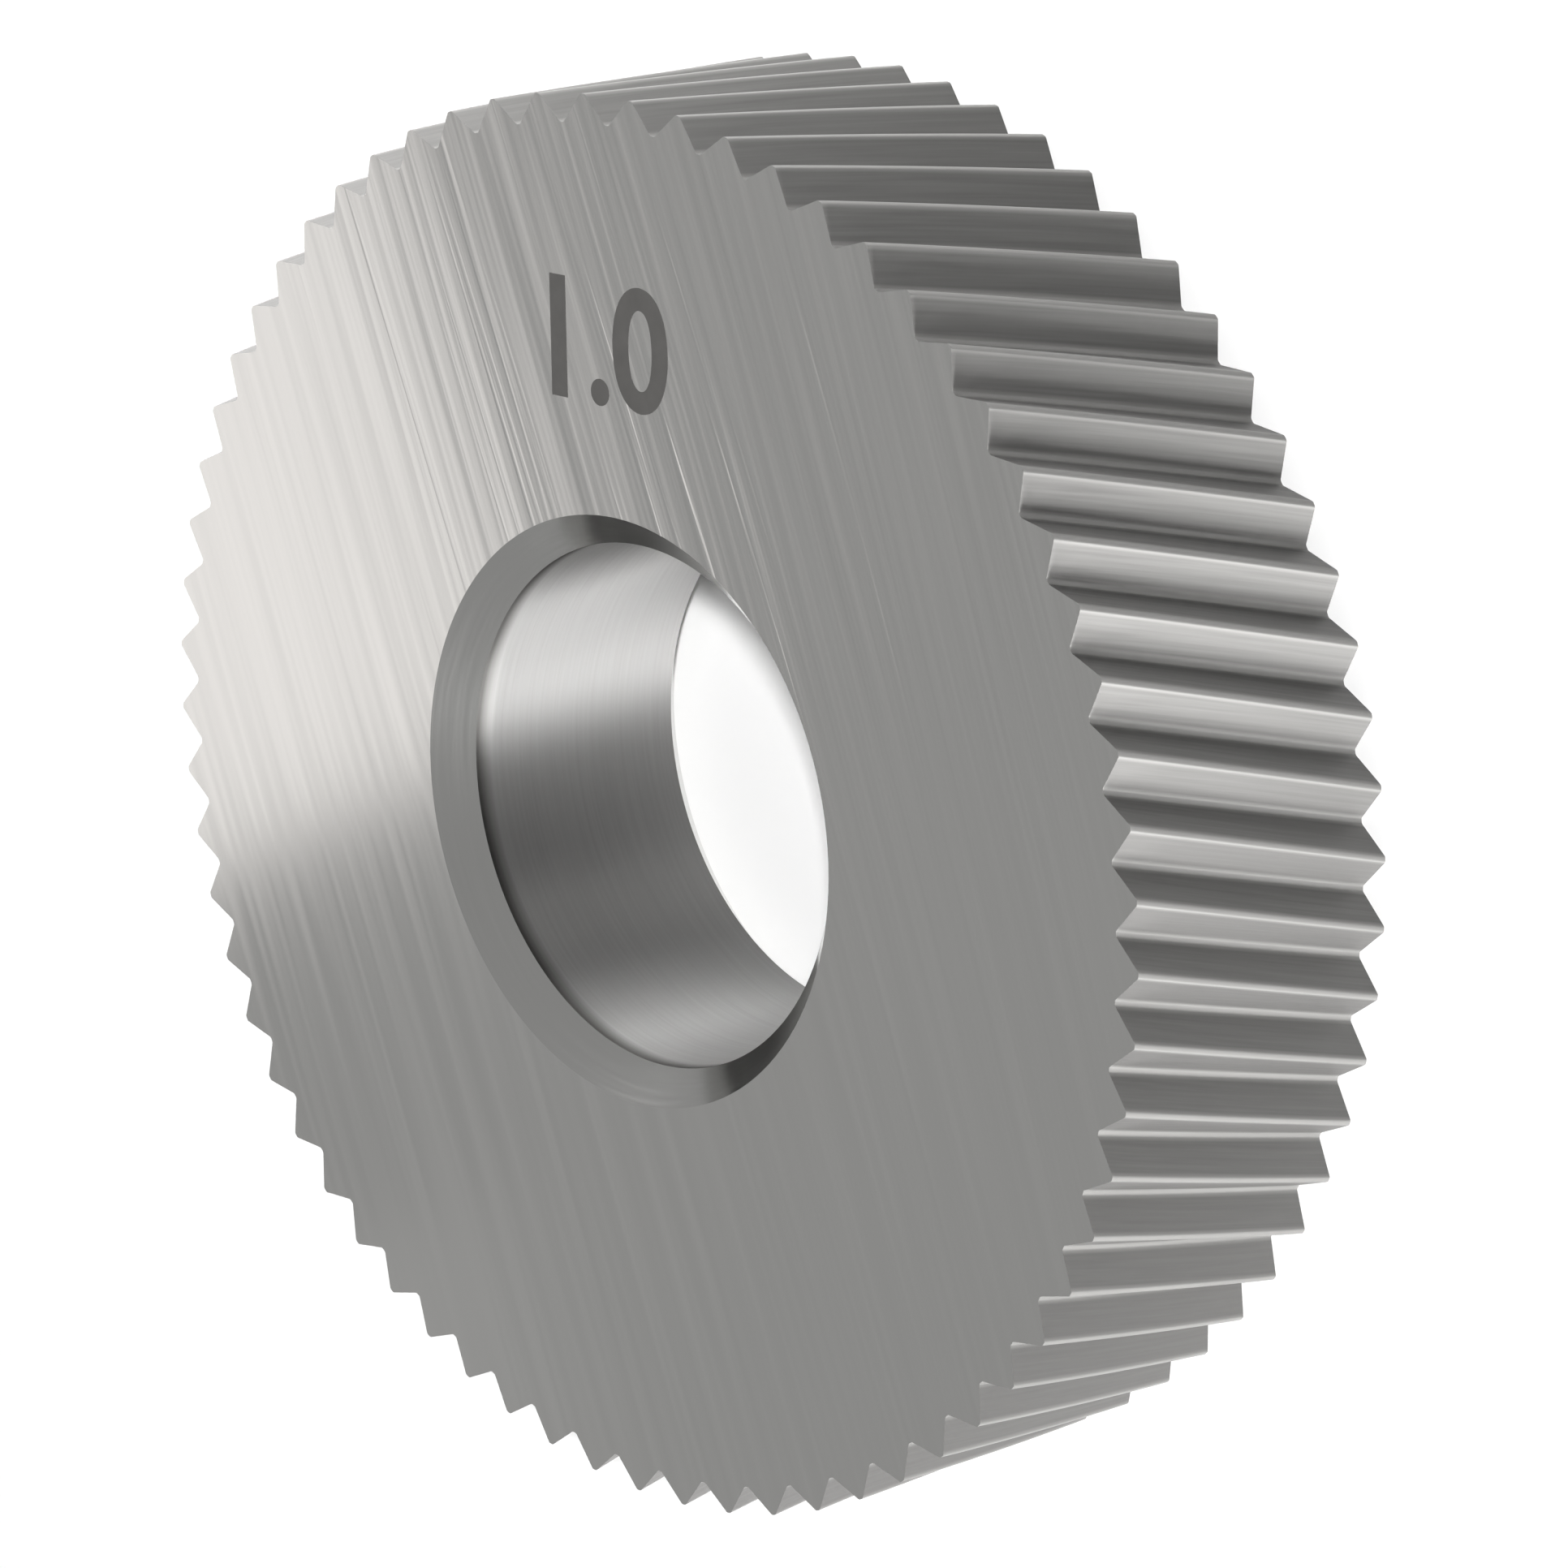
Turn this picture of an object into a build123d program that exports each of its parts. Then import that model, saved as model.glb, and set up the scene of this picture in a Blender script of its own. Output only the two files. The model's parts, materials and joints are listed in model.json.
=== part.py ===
from build123d import *
import os
from math import cos, pi, radians, sin, tan

# Knurling wheel: a disc of hardened steel with helical teeth round its rim,
# rolled against a turning workpiece to press a grip pattern into it.
# Lengths are in millimetres and angles in degrees. The back face lies on z = 0.

# Disc
outer_diameter = 21.5  # over the tooth crests
width = 5.0  # from face to face
bore_diameter = 8.0  # turns on the pin of a holder
bore_chamfer = 0.5  # 45 degrees, at both ends of the bore

# Teeth
tooth_count = 65
helix_angle = 16.0  # between a crest and the axis, right hand
groove_angle = 90.0  # between the two flanks of a groove
crest_land = 0.08  # narrow top of a tooth, measured square to the tooth
root_land = 0.08  # narrow floor of a groove, measured square to the groove

outer_radius = outer_diameter / 2
tooth_step = 360 / tooth_count

# The slant of the teeth widens lands and grooves as they show on a face
slant_factor = 1 / cos(radians(helix_angle))
half_crest_angle = crest_land * slant_factor / outer_diameter
half_mouth_angle = radians(tooth_step) / 2 - half_crest_angle
flank_slope = tan(radians(groove_angle) / 2) * slant_factor

# A groove that opens on +X: its mouth on the rim, its narrow floor,
# and its flanks drawn on past the rim
mouth_x = outer_radius * cos(half_mouth_angle)
mouth_y = outer_radius * sin(half_mouth_angle)
root_y = root_land * slant_factor / 2
root_x = mouth_x - (mouth_y - root_y) / flank_slope
end_x = outer_radius + mouth_y
end_y = mouth_y + (end_x - mouth_x) * flank_slope

# The teeth would go once round the axis over this length
lead = pi * outer_diameter / tan(radians(helix_angle))

with BuildSketch() as groove:
    with BuildLine():
        Polyline(
            (end_x, -end_y),
            (root_x, -root_y),
            (root_x, root_y),
            (end_x, end_y),
            close=True,
        )
    make_face()

# At the back face the first tooth stands on +X, half a step from a groove
with BuildSketch() as toothed_disc:
    Circle(outer_radius)
    with PolarLocations(0, tooth_count, start_angle=tooth_step / 2):
        add(groove.sketch, mode=Mode.SUBTRACT)

with BuildLine() as axis_line:
    Line((0, 0, 0), (0, 0, width))

with BuildLine() as crest_line:
    Helix(pitch=lead, height=width, radius=outer_radius)

# The disc's outline turns with the crest line as it rises along the axis
with BuildPart() as knurling_wheel:
    sweep(toothed_disc.sketch, path=axis_line.line, binormal=crest_line.edge())
    Hole(bore_diameter / 2)
    bore_rims = edges(Select.LAST).filter_by(GeomType.CIRCLE)
    chamfer(bore_rims, length=bore_chamfer)

knurling_wheel.part.label = "knurling_wheel"

os.makedirs("parts", exist_ok=True)
export_step(knurling_wheel.part, "parts/knurling_wheel.step")
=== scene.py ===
import json
from math import cos, pi, radians, sin, tan

import bmesh
import bpy
from mathutils import Matrix, Vector


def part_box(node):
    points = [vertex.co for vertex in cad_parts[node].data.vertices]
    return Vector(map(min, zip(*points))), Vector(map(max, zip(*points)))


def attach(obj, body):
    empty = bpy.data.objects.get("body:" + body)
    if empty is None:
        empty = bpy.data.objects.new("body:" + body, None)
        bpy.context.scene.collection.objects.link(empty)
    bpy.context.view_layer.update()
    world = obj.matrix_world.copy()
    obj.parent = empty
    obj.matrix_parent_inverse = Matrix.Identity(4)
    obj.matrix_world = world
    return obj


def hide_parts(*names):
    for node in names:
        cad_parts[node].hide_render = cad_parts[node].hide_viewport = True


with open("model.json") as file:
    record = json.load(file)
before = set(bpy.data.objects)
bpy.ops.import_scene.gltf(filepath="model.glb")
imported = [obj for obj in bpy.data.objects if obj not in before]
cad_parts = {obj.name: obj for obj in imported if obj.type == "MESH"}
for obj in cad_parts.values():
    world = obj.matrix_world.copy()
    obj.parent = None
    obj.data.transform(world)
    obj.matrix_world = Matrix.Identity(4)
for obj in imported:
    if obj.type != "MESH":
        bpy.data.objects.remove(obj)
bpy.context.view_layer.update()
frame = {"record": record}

mm = 0.001
origin = Vector((0, 0, 0))
axisZ = Vector((0, 0, 1))
scene = bpy.context.scene
mounts = {mount["name"]: mount for mount in frame["record"]["mounts"]}
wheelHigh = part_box("knurling_wheel")[1]


def addObject(name, data):
    made = bpy.data.objects.new(name, data)
    scene.collection.objects.link(made)
    return made


def direction(heading, height):
    # Heading turns from +X towards +Y, height rises from the floor
    return Vector((cos(height) * cos(heading), cos(height) * sin(heading), sin(height)))


# Finishes: a Signal is a socket that can be used in sums, and a Finish is a material

class Signal:
    def __init__(self, finish, socket):
        self.finish = finish
        self.socket = socket

    def sum(self, operation, *values):
        return self.finish.node("ShaderNodeMath", {"operation": operation}, dict(enumerate(values)))

    def __add__(self, other):
        return self.sum("ADD", self, other)

    def __sub__(self, other):
        return self.sum("SUBTRACT", self, other)

    def __rsub__(self, other):
        return self.sum("SUBTRACT", other, self)

    def __mul__(self, other):
        return self.sum("MULTIPLY", self, other)

    __radd__ = __add__
    __rmul__ = __mul__


class Finish:
    def __init__(self, owner, shader, constants):
        owner.use_nodes = True
        self.owner = owner
        self.tree = owner.node_tree
        self.shader = self.tree.nodes[shader]
        self.feed(self.shader, constants)

    def feed(self, node, values):
        for key, value in values.items():
            if isinstance(value, Signal):
                self.tree.links.new(value.socket, node.inputs[key])
            else:
                node.inputs[key].default_value = value

    def node(self, kind, settings=None, values=None, output=0):
        made = self.tree.nodes.new(kind)
        for key, value in (settings or {}).items():
            setattr(made, key, value)
        self.feed(made, values or {})
        return Signal(self, made.outputs[output])

    def spread(self, vector):
        return [self.node("ShaderNodeSeparateXYZ", values={0: vector}, output=axis) for axis in "XYZ"]

    def place(self):
        # Object coordinates as three signals, in millimetres
        return [part * (1 / mm) for part in self.spread(self.node("ShaderNodeTexCoord", output="Object"))]

    def grain(self, x, y, z, detail=2.0):
        # Noise from 0 to 1, one grain to each unit of its coordinates
        spot = self.node("ShaderNodeCombineXYZ", values={"X": x, "Y": y, "Z": z})
        return self.node("ShaderNodeTexNoise", values={"Vector": spot, "Scale": 1.0, "Detail": detail})

    def remap(self, value, fromLow, fromHigh, toLow, toHigh, smooth=False):
        settings = {"interpolation_type": "SMOOTHSTEP" if smooth else "LINEAR", "clamp": True}
        return self.node("ShaderNodeMapRange", settings, {
            "Value": value, "From Min": fromLow, "From Max": fromHigh, "To Min": toLow, "To Max": toHigh,
        })

    def vary(self, noise, limits):
        # From the first limit to the second over most of the noise's range
        return self.remap(noise, 0.3, 0.7, *limits)

    def blend(self, share, first, second):
        settings = {"data_type": "RGBA", "clamp_factor": True}
        return self.node("ShaderNodeMix", settings, {0: share, 6: first, 7: second}, output=2)

    def bump(self, height, distance):
        return self.node("ShaderNodeBump", values={"Height": height, "Distance": distance})

    def paint(self, values):
        self.feed(self.shader, values)
        return self.owner


def newFinish(name, constants):
    return Finish(bpy.data.materials.new(name), "Principled BSDF", constants)


# Wheel

wheel = {
    "radius": wheelHigh.x,  # over the crests
    "width": wheelHigh.z,
    "boreRadius": mounts["bore"]["dims"]["r_mm"] * mm,
    "boreWall": mounts["bore"]["dims"]["length_mm"] * mm,  # between the two chamfers
    "teeth": 65,
    "helixAngle": radians(16),  # right hand
    "grooveAngle": radians(90),
    "crestLand": 0.08 * mm,
    "rootLand": 0.08 * mm,
    "cornerRound": 0.02 * mm,  # where a flank meets its lands
    "cornerSteps": 3,
    "sharpAngle": radians(35),  # edges that bend more than this stay crisp
    "slices": 16,  # across the width, to follow the helix
    "weld": 0.0001 * mm,  # points closer than this are joined
    "levelNormal": 0.99,  # upright part of the normal on the two flat faces, at least
    "slopingNormal": 0.3,  # and on the chamfers
}


def onCircle(radius, angle):
    return Vector((radius * cos(angle), radius * sin(angle), 0))


def turnVerts(bm, verts, angle):
    bmesh.ops.rotate(bm, verts=verts, cent=origin, matrix=Matrix.Rotation(angle, 3, "Z"))


def vertsOf(edges):
    return list(dict.fromkeys(vert for edge in edges for vert in edge.verts))


def toothSector(bm, chamferRadius, toothStep):
    # One groove and half a tooth on each side of it, as a flat face round to the bore
    radius = wheel["radius"]
    slant = 1 / cos(wheel["helixAngle"])
    halfMouth = toothStep / 2 - wheel["crestLand"] * slant / 2 / radius
    slope = tan(wheel["grooveAngle"] / 2) * slant
    mouth = onCircle(radius, halfMouth)
    rootY = wheel["rootLand"] * slant / 2
    rootX = mouth.x - (mouth.y - rootY) / slope
    upperHalf = [
        onCircle(chamferRadius, toothStep / 2),
        onCircle(radius, toothStep / 2),
        mouth,
        Vector((rootX, rootY, 0)),
    ]
    lowerHalf = [Vector((point.x, -point.y, 0)) for point in reversed(upperHalf)]
    points = upperHalf + lowerHalf + [onCircle(chamferRadius, 0)]
    verts = [bm.verts.new(point) for point in points]
    bm.faces.new(verts)
    corners = verts[2:6]
    bmesh.ops.bevel(
        bm, geom=corners, offset=wheel["cornerRound"], offset_type="OFFSET",
        segments=wheel["cornerSteps"], profile=0.5, affect="VERTICES", material=-1, clamp_overlap=True,
    )
    turnVerts(bm, bm.verts[:], toothStep / 2)  # the first crest now stands on +X


def growBore(bm, edges, chamfer, chamferRadius, turn):
    # Back chamfer, wall and front chamfer, turned just enough to meet the front face
    width = wheel["width"]
    stations = [
        (chamfer, wheel["boreRadius"]),
        (width - chamfer, wheel["boreRadius"]),
        (width, chamferRadius),
    ]
    height, radius = 0, chamferRadius
    for nextHeight, nextRadius in stations:
        made = bmesh.ops.extrude_edge_only(bm, edges=edges)["geom"]
        ring = [item for item in made if isinstance(item, bmesh.types.BMVert)]
        inRing = set(ring)
        edges = [
            item for item in made
            if isinstance(item, bmesh.types.BMEdge) and inRing.issuperset(item.verts)
        ]
        growth = nextRadius / radius
        bmesh.ops.scale(bm, verts=ring, vec=(growth, growth, 1))
        bmesh.ops.translate(bm, verts=ring, vec=axisZ * (nextHeight - height))
        turnVerts(bm, ring, turn * (nextHeight - height) / width)
        height, radius = nextHeight, nextRadius


def finishOf(face, midRing):
    # Which of the finishes given to makeWheel the face takes
    upright = abs(face.normal.z)
    if upright > wheel["levelNormal"]:
        return 0  # ground face
    if face.calc_center_median().xy.length > midRing:
        return 1  # teeth
    if upright > wheel["slopingNormal"]:
        return 2  # chamfers
    return 3  # the bore's wall


def makeWheel(finishes):
    bm = bmesh.new()
    teeth = wheel["teeth"]
    width = wheel["width"]
    toothStep = 2 * pi / teeth
    twist = tan(wheel["helixAngle"]) * width / wheel["radius"]
    chamfer = (width - wheel["boreWall"]) / 2
    chamferRadius = wheel["boreRadius"] + chamfer

    # Back face: the sector repeated round the axis
    toothSector(bm, chamferRadius, toothStep)
    bmesh.ops.spin(
        bm, geom=bm.verts[:] + bm.edges[:] + bm.faces[:], cent=origin, axis=axisZ,
        angle=2 * pi - toothStep, steps=teeth - 1, use_duplicate=True,
    )
    bmesh.ops.remove_doubles(bm, verts=bm.verts[:], dist=wheel["weld"])
    backFace = bm.verts[:] + bm.edges[:] + bm.faces[:]
    midRing = (chamferRadius + wheel["radius"]) / 2
    outline = [edge for edge in bm.edges if edge.is_boundary]
    rimEdges = [edge for edge in outline if edge.verts[0].co.length > midRing]
    boreEdges = [edge for edge in outline if edge.verts[0].co.length < midRing]

    # Front face: a copy, turned by the helix
    copied = bmesh.ops.duplicate(bm, geom=backFace)["geom"]
    frontVerts = [item for item in copied if isinstance(item, bmesh.types.BMVert)]
    bmesh.ops.translate(bm, verts=frontVerts, vec=axisZ * width)
    turnVerts(bm, frontVerts, twist)

    # Teeth: the rim outline carried up its helix
    bmesh.ops.spin(
        bm, geom=vertsOf(rimEdges) + rimEdges, cent=origin, axis=axisZ,
        dvec=axisZ * width / wheel["slices"], angle=twist, steps=wheel["slices"],
    )

    boreStep = toothStep / 2  # between two points of the bore's ring
    boreTurn = twist - round(twist / boreStep) * boreStep
    growBore(bm, boreEdges, chamfer, chamferRadius, boreTurn)

    bmesh.ops.remove_doubles(bm, verts=bm.verts[:], dist=wheel["weld"])
    bmesh.ops.recalc_face_normals(bm, faces=bm.faces[:])
    for face in bm.faces:
        face.material_index = finishOf(face, midRing)
    for edge in bm.edges:
        edge.smooth = edge.calc_face_angle() < wheel["sharpAngle"]
    print("wheel:", len(bm.faces), "faces, closed:", all(edge.is_manifold for edge in bm.edges))
    mesh = bpy.data.meshes.new("wheelBody")
    bm.to_mesh(mesh)
    bm.free()
    mesh.shade_smooth()
    piece = addObject("wheelBody", mesh)
    for finish in finishes:
        mesh.materials.append(finish)
    weights = piece.modifiers.new("faceWeights", "WEIGHTED_NORMAL")
    weights.keep_sharp = True
    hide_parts("knurling_wheel")
    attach(piece, "root")


# Steel: the look of each finish

steel = {
    "face": {
        "light": (0.64, 0.638, 0.621, 1),
        "dark": (0.46, 0.458, 0.445, 1),
        "roughness": (0.08, 0.125),
        "relief": 0.0012 * mm,
    },
    "teeth": {  # duller and darker than the faces
        "light": (0.167, 0.165, 0.161, 1),
        "dark": (0.135, 0.133, 0.13, 1),
        # lighter crests, partly wear and partly painted highlight, and a painted highlight along the
        # roots
        "wornAndHighlight": (0.22, 0.218, 0.212, 1),
        "crestWearAndHighlight": (10.70, 10.74),  # radii in mm where the lighter band starts and where it is full
        "rootHighlight": (10.37, 10.34),
        "roughness": (0.56, 0.64),
        "relief": 0.0006 * mm,
    },
    "chamfer": {
        "light": (0.50, 0.498, 0.485, 1),
        "dark": (0.46, 0.458, 0.445, 1),
        "roughness": (0.12, 0.16),
    },
    "bore": {
        "light": (0.36, 0.356, 0.35, 1),
        "dark": (0.33, 0.326, 0.32, 1),
        "mouth": (0.085, 0.083, 0.08, 1),  # painted shade just inside the front chamfer
        "mouthShadeHeights": (4.2, 4.46),  # mm over the back face where it starts and where it is full
        "roughness": (0.47, 0.53),
        "relief": 0.0003 * mm,
    },
}

# Strokes on the ground faces: width and length in mm, and how much each kind adds to the relief
strokeKinds = {
    "fine": {"lean": 0.0, "width": 0.09, "length": 6, "height": 0.25},
    "middle": {"lean": -0.01, "width": 0.24, "length": 10, "height": 1.7},
    "broad": {"lean": 0.0, "width": 0.8, "length": 14, "height": 4.0},
    "scratch": {"lean": 0.02, "width": 0.2, "length": 12, "height": -0.35},
}


def makeGroundFace():
    # Ground flat in long straight strokes, a few of them crossing at a small angle
    look = steel["face"]
    finish = newFinish("groundFace", {"Metallic": 1.0})
    x, y, z = finish.place()
    bend = finish.remap(y, -7.5, -3.0, 0.035, 0.1)  # the strokes slope less near the edge at -Y

    def strokes(kind):
        # Noise drawn out along X and leaning to +Y, shifted in z to give each kind its own lines
        stroke = strokeKinds[kind]
        along = x * (1 / stroke["length"])
        across = (y - x * (bend + stroke["lean"])) * (1 / stroke["width"])
        return finish.grain(along, across, z + stroke["width"] * 100, detail=1.0)

    marks = {kind: strokes(kind) for kind in strokeKinds}
    marks["scratch"] = finish.remap(marks["scratch"], 0.62, 0.72, 0.0, 1.0)  # a few lines only

    # The strokes are strongest towards +X and -Y
    depth = finish.remap(y, -3.5, -0.5, 1.3, 0.55) * finish.remap(x, -3.0, 2.0, 0.3, 1.0)
    depth = depth * finish.remap(y, 1.0, 5.0, 1.0, 0.5)
    fine, middle, broad, scratch = [marks[kind] * strokeKinds[kind]["height"] for kind in marks]
    height = (fine + middle + broad + scratch) * depth
    tone = (marks["fine"] * 0.4 + marks["middle"] * 0.6 - 0.5) * depth + 0.5
    return finish.paint({
        "Base Color": finish.blend(tone, look["light"], look["dark"]),
        "Roughness": finish.vary(marks["middle"], look["roughness"]),
        "Normal": finish.bump(height, look["relief"]),
    })


def makeToothSteel():
    # Fine lines along the helix, lighter on the crests, partly worn by use and partly a painted
    # highlight, and with a painted highlight along the roots
    look = steel["teeth"]
    finish = newFinish("toothSteel", {"Metallic": 1.0})
    x, y, z = finish.place()
    turn = z * (tan(wheel["helixAngle"]) * mm / wheel["radius"])
    lines = finish.grain((x + y * turn) * 16, (y - x * turn) * 16, z * 0.3)
    squared = x * x + y * y
    radius = squared.sum("POWER", squared, 0.5)
    # painted highlight along the roots, and on the crests partly wear and partly painted highlight
    wearAndHighlight = (
        finish.remap(radius, *look["crestWearAndHighlight"], 0.0, 1.0)
        + finish.remap(radius, *look["rootHighlight"], 0.0, 1.0)
    )
    dull = finish.blend(lines, look["light"], look["dark"])
    return finish.paint({
        "Base Color": finish.blend(wearAndHighlight, dull, look["wornAndHighlight"]),
        "Roughness": finish.vary(lines, look["roughness"]),
        "Normal": finish.bump(lines, look["relief"]),
    })


def makeChamferSteel():
    # Turned: faint rings round the bore
    look = steel["chamfer"]
    finish = newFinish("chamferSteel", {"Metallic": 1.0})
    x, y, z = finish.place()
    rings = finish.grain(x * 0.5, y * 0.5, z * 20)
    return finish.paint({
        "Base Color": finish.blend(rings, look["light"], look["dark"]),
        "Roughness": finish.vary(rings, look["roughness"]),
    })


def makeBoreSteel():
    # Honed: fine rings round the bore, which draw its reflections out along the axis
    look = steel["bore"]
    finish = newFinish("boreSteel", {"Metallic": 1.0, "Anisotropic": 1.0, "Anisotropic Rotation": 0.25})
    x, y, z = finish.place()
    rings = finish.grain(x * 0.4, y * 0.4, z * 18)
    honed = finish.blend(rings, look["light"], look["dark"])
    # A dark band of painted shade just inside the front chamfer
    mouth = finish.remap(z, *look["mouthShadeHeights"], 0.0, 1.0)
    return finish.paint({
        "Base Color": finish.blend(mouth, honed, look["mouth"]),
        "Roughness": finish.vary(rings, look["roughness"]),
        "Normal": finish.bump(rings, look["relief"]),
    })


makeWheel([makeGroundFace(), makeToothSteel(), makeChamferSteel(), makeBoreSteel()])
print("wheel finished")


# Number: the pitch of the teeth in mm, marked on the front face by laser

number = {
    "text": "1.0",
    "height": 1.8 * mm,
    "bolder": 0.02,  # widens the strokes, for letters of size 1
    "proud": 0.003 * mm,  # the mark's edge over the face
    "middle": Vector((6.88, -1.84, 0)) * mm,
    "baseline": radians(-107.3),
    "light": (0.12, 0.117, 0.113, 1),
    "dark": (0.09, 0.088, 0.085, 1),
    "roughness": (0.55, 0.7),
}


def makeLaserMark():
    # Burnt dark in close lines
    finish = newFinish("laserMark", {"Metallic": 0.0, "Specular IOR Level": 0.0})
    x, y, z = finish.place()
    lines = finish.grain(x * 3, y * 3, z, detail=3.0)
    return finish.paint({
        "Base Color": finish.blend(lines, number["light"], number["dark"]),
        "Roughness": finish.vary(lines, number["roughness"]),
    })


def makeNumber(finish):
    words = bpy.data.curves.new("pitchNumber", "FONT")
    words.body = number["text"]
    words.align_x = "CENTER"
    words.extrude = number["proud"]
    words.offset = number["bolder"]
    words.size = 1.0
    drawn = addObject("pitchText", words)
    bpy.context.view_layer.update()
    mesh = bpy.data.meshes.new_from_object(drawn)
    bpy.data.objects.remove(drawn)
    bm = bmesh.new()
    bm.from_mesh(mesh)
    bmesh.ops.remove_doubles(bm, verts=bm.verts[:], dist=number["proud"] / 10)
    top = max(vert.co.y for vert in bm.verts)
    growth = number["height"] / top
    bmesh.ops.translate(bm, verts=bm.verts[:], vec=(0, -top / 2, 0))
    bmesh.ops.scale(bm, verts=bm.verts[:], vec=(growth, growth, 1))
    turnVerts(bm, bm.verts[:], number["baseline"])
    bmesh.ops.translate(bm, verts=bm.verts[:], vec=number["middle"] + axisZ * wheel["width"])
    bmesh.ops.recalc_face_normals(bm, faces=bm.faces[:])
    print("number:", len(bm.faces), "faces, closed:", all(edge.is_manifold for edge in bm.edges))
    mesh.name = "pitchNumber"
    bm.to_mesh(mesh)
    bm.free()
    mesh.materials.clear()
    mesh.materials.append(finish)
    piece = addObject("pitchNumber", mesh)
    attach(piece, "root")


makeNumber(makeLaserMark())
print("number finished")


# Camera

camera = {
    "aim": Vector((0.008, -3.751, 5.0)) * mm,  # on the front face
    "heading": radians(92.72),  # of the view, from +X
    "dip": radians(40.47),
    "roll": radians(-104.27),
    "distance": 94.57 * mm,
    "lens": 150.23,
    "sensor": 36,
    "nearest": 1 * mm,
}


def makeCamera():
    data = bpy.data.cameras.new("camera")
    data.sensor_width = camera["sensor"]
    data.lens = camera["lens"]
    data.clip_start = camera["nearest"]
    ahead = direction(camera["heading"], -camera["dip"])
    level = ahead.to_track_quat("-Z", "Y").to_matrix()
    turned = level @ Matrix.Rotation(camera["roll"], 3, "Z")
    made = addObject("camera", data)
    made.matrix_world = Matrix.LocRotScale(camera["aim"] - ahead * camera["distance"], turned, None)
    scene.camera = made


makeCamera()


# Floor and light

studio = {
    "floorSize": 3.0,
    "floor": (0.97, 0.97, 0.97, 1),
    "air": 0.44,  # soft light from all round
    "ceiling": 0.27,  # and from overhead
    "ceilingEdge": (0.80, 0.87),  # upward part of a direction, where one fades into the other
    "lampDistance": 0.5,  # of the lamps and panels given by heading and height
}


def makeFloor():
    bm = bmesh.new()
    bmesh.ops.create_grid(bm, x_segments=1, y_segments=1, size=studio["floorSize"] / 2)
    mesh = bpy.data.meshes.new("floor")
    bm.to_mesh(mesh)
    bm.free()
    matt = {"Base Color": studio["floor"], "Roughness": 0.9, "Specular IOR Level": 0.0}
    mesh.materials.append(newFinish("floorPaper", matt).owner)
    addObject("floor", mesh)


def makeWorld():
    scene.world = bpy.data.worlds.new("studioAir")
    air = Finish(scene.world, "Background", {})
    upward = air.spread(air.node("ShaderNodeTexCoord", output="Generated"))[2]
    light = air.remap(upward, *studio["ceilingEdge"], studio["air"], studio["ceiling"], smooth=True)
    air.paint({"Color": light})


def makePanel(name, place, facing, size, radiance, tint=(1, 1, 1), lean=0.0):
    # A flat soft light that faces along facing, with its height upright or leaning
    data = bpy.data.lights.new(name, "AREA")
    data.shape = "RECTANGLE"
    data.size, data.size_y = size
    data.color = tint
    data.energy = radiance * pi * size[0] * size[1]
    made = addObject(name, data)
    turned = facing.to_track_quat("-Z", "Y").to_matrix() @ Matrix.Rotation(lean, 3, "Z")
    made.matrix_world = Matrix.LocRotScale(place, turned, None)
    return made


makeFloor()
makeWorld()

# The face mirrors the window panel: its corner ends the bright part
window = {
    "corner": Vector((-0.011, 0.5, 0.407)),
    "size": (0.32, 0.22),
    "lean": radians(8),
    "facing": Vector((0, -1, 0)),
    "radiance": 0.97,
    "tint": (1, 0.96, 0.95),
}


def makeWindow():
    width, height = window["size"]
    lean = window["lean"]
    across = Vector((cos(lean), 0, -sin(lean)))
    down = Vector((-sin(lean), 0, -cos(lean)))
    middle = window["corner"] + across * (width / 2) + down * (height / 2)
    makePanel(
        "windowPanel", middle, window["facing"], window["size"],
        window["radiance"], window["tint"], lean,
    )


makeWindow()
makePanel(
    "dimPanel", place=Vector((-0.18, 0.5, 0.28)), facing=window["facing"],
    size=(0.24, 0.2), radiance=0.08,
)


def aimAtWheel(name, heading, height, size, radiance, lean=0.0):
    away = direction(radians(heading), radians(height))
    return makePanel(name, away * studio["lampDistance"], -away, size, radiance, lean=radians(lean))


def floorLamp(name, heading, height, size, floorLevel):
    # Lights the paper and doesn't show in the metal; floorLevel is what it adds to a white floor
    spread = size ** 2 * sin(radians(height))
    radiance = floorLevel * pi * studio["lampDistance"] ** 2 / spread
    aimAtWheel(name, heading, height, (size, size), radiance).visible_glossy = False


def metalPanel(name, heading, height, size, radiance, lean=0.0):
    # Shows in the metal only
    aimAtWheel(name, heading, height, size, radiance, lean).visible_diffuse = False


floorLamp("frontLamp", heading=-83, height=41, size=0.03, floorLevel=0.73)

# The low panels are for the teeth and the high ones for the bore's wall, angles in degrees
metalPanels = {
    "leftPanel": {"heading": 212, "height": 3.5, "size": (0.33, 0.06), "radiance": 119},
    "rightPanel": {"heading": -15, "height": 2.9, "size": (0.22, 0.05), "radiance": 48},
    "backPanel": {"heading": 90, "height": 2.9, "size": (0.27, 0.05), "radiance": 96},
    "farPanel": {"heading": 23, "height": 2.9, "size": (0.25, 0.05), "radiance": 120},
    "boreLeftPanel": {"heading": 165, "height": 60, "size": (0.36, 0.15), "radiance": 45, "lean": 20},
    "boreRightPanel": {"heading": 49, "height": 56, "size": (0.26, 0.2), "radiance": 26},
}
for name, values in metalPanels.items():
    metalPanel(name, **values)

scene.view_settings.view_transform = "Standard"
print("studio finished")
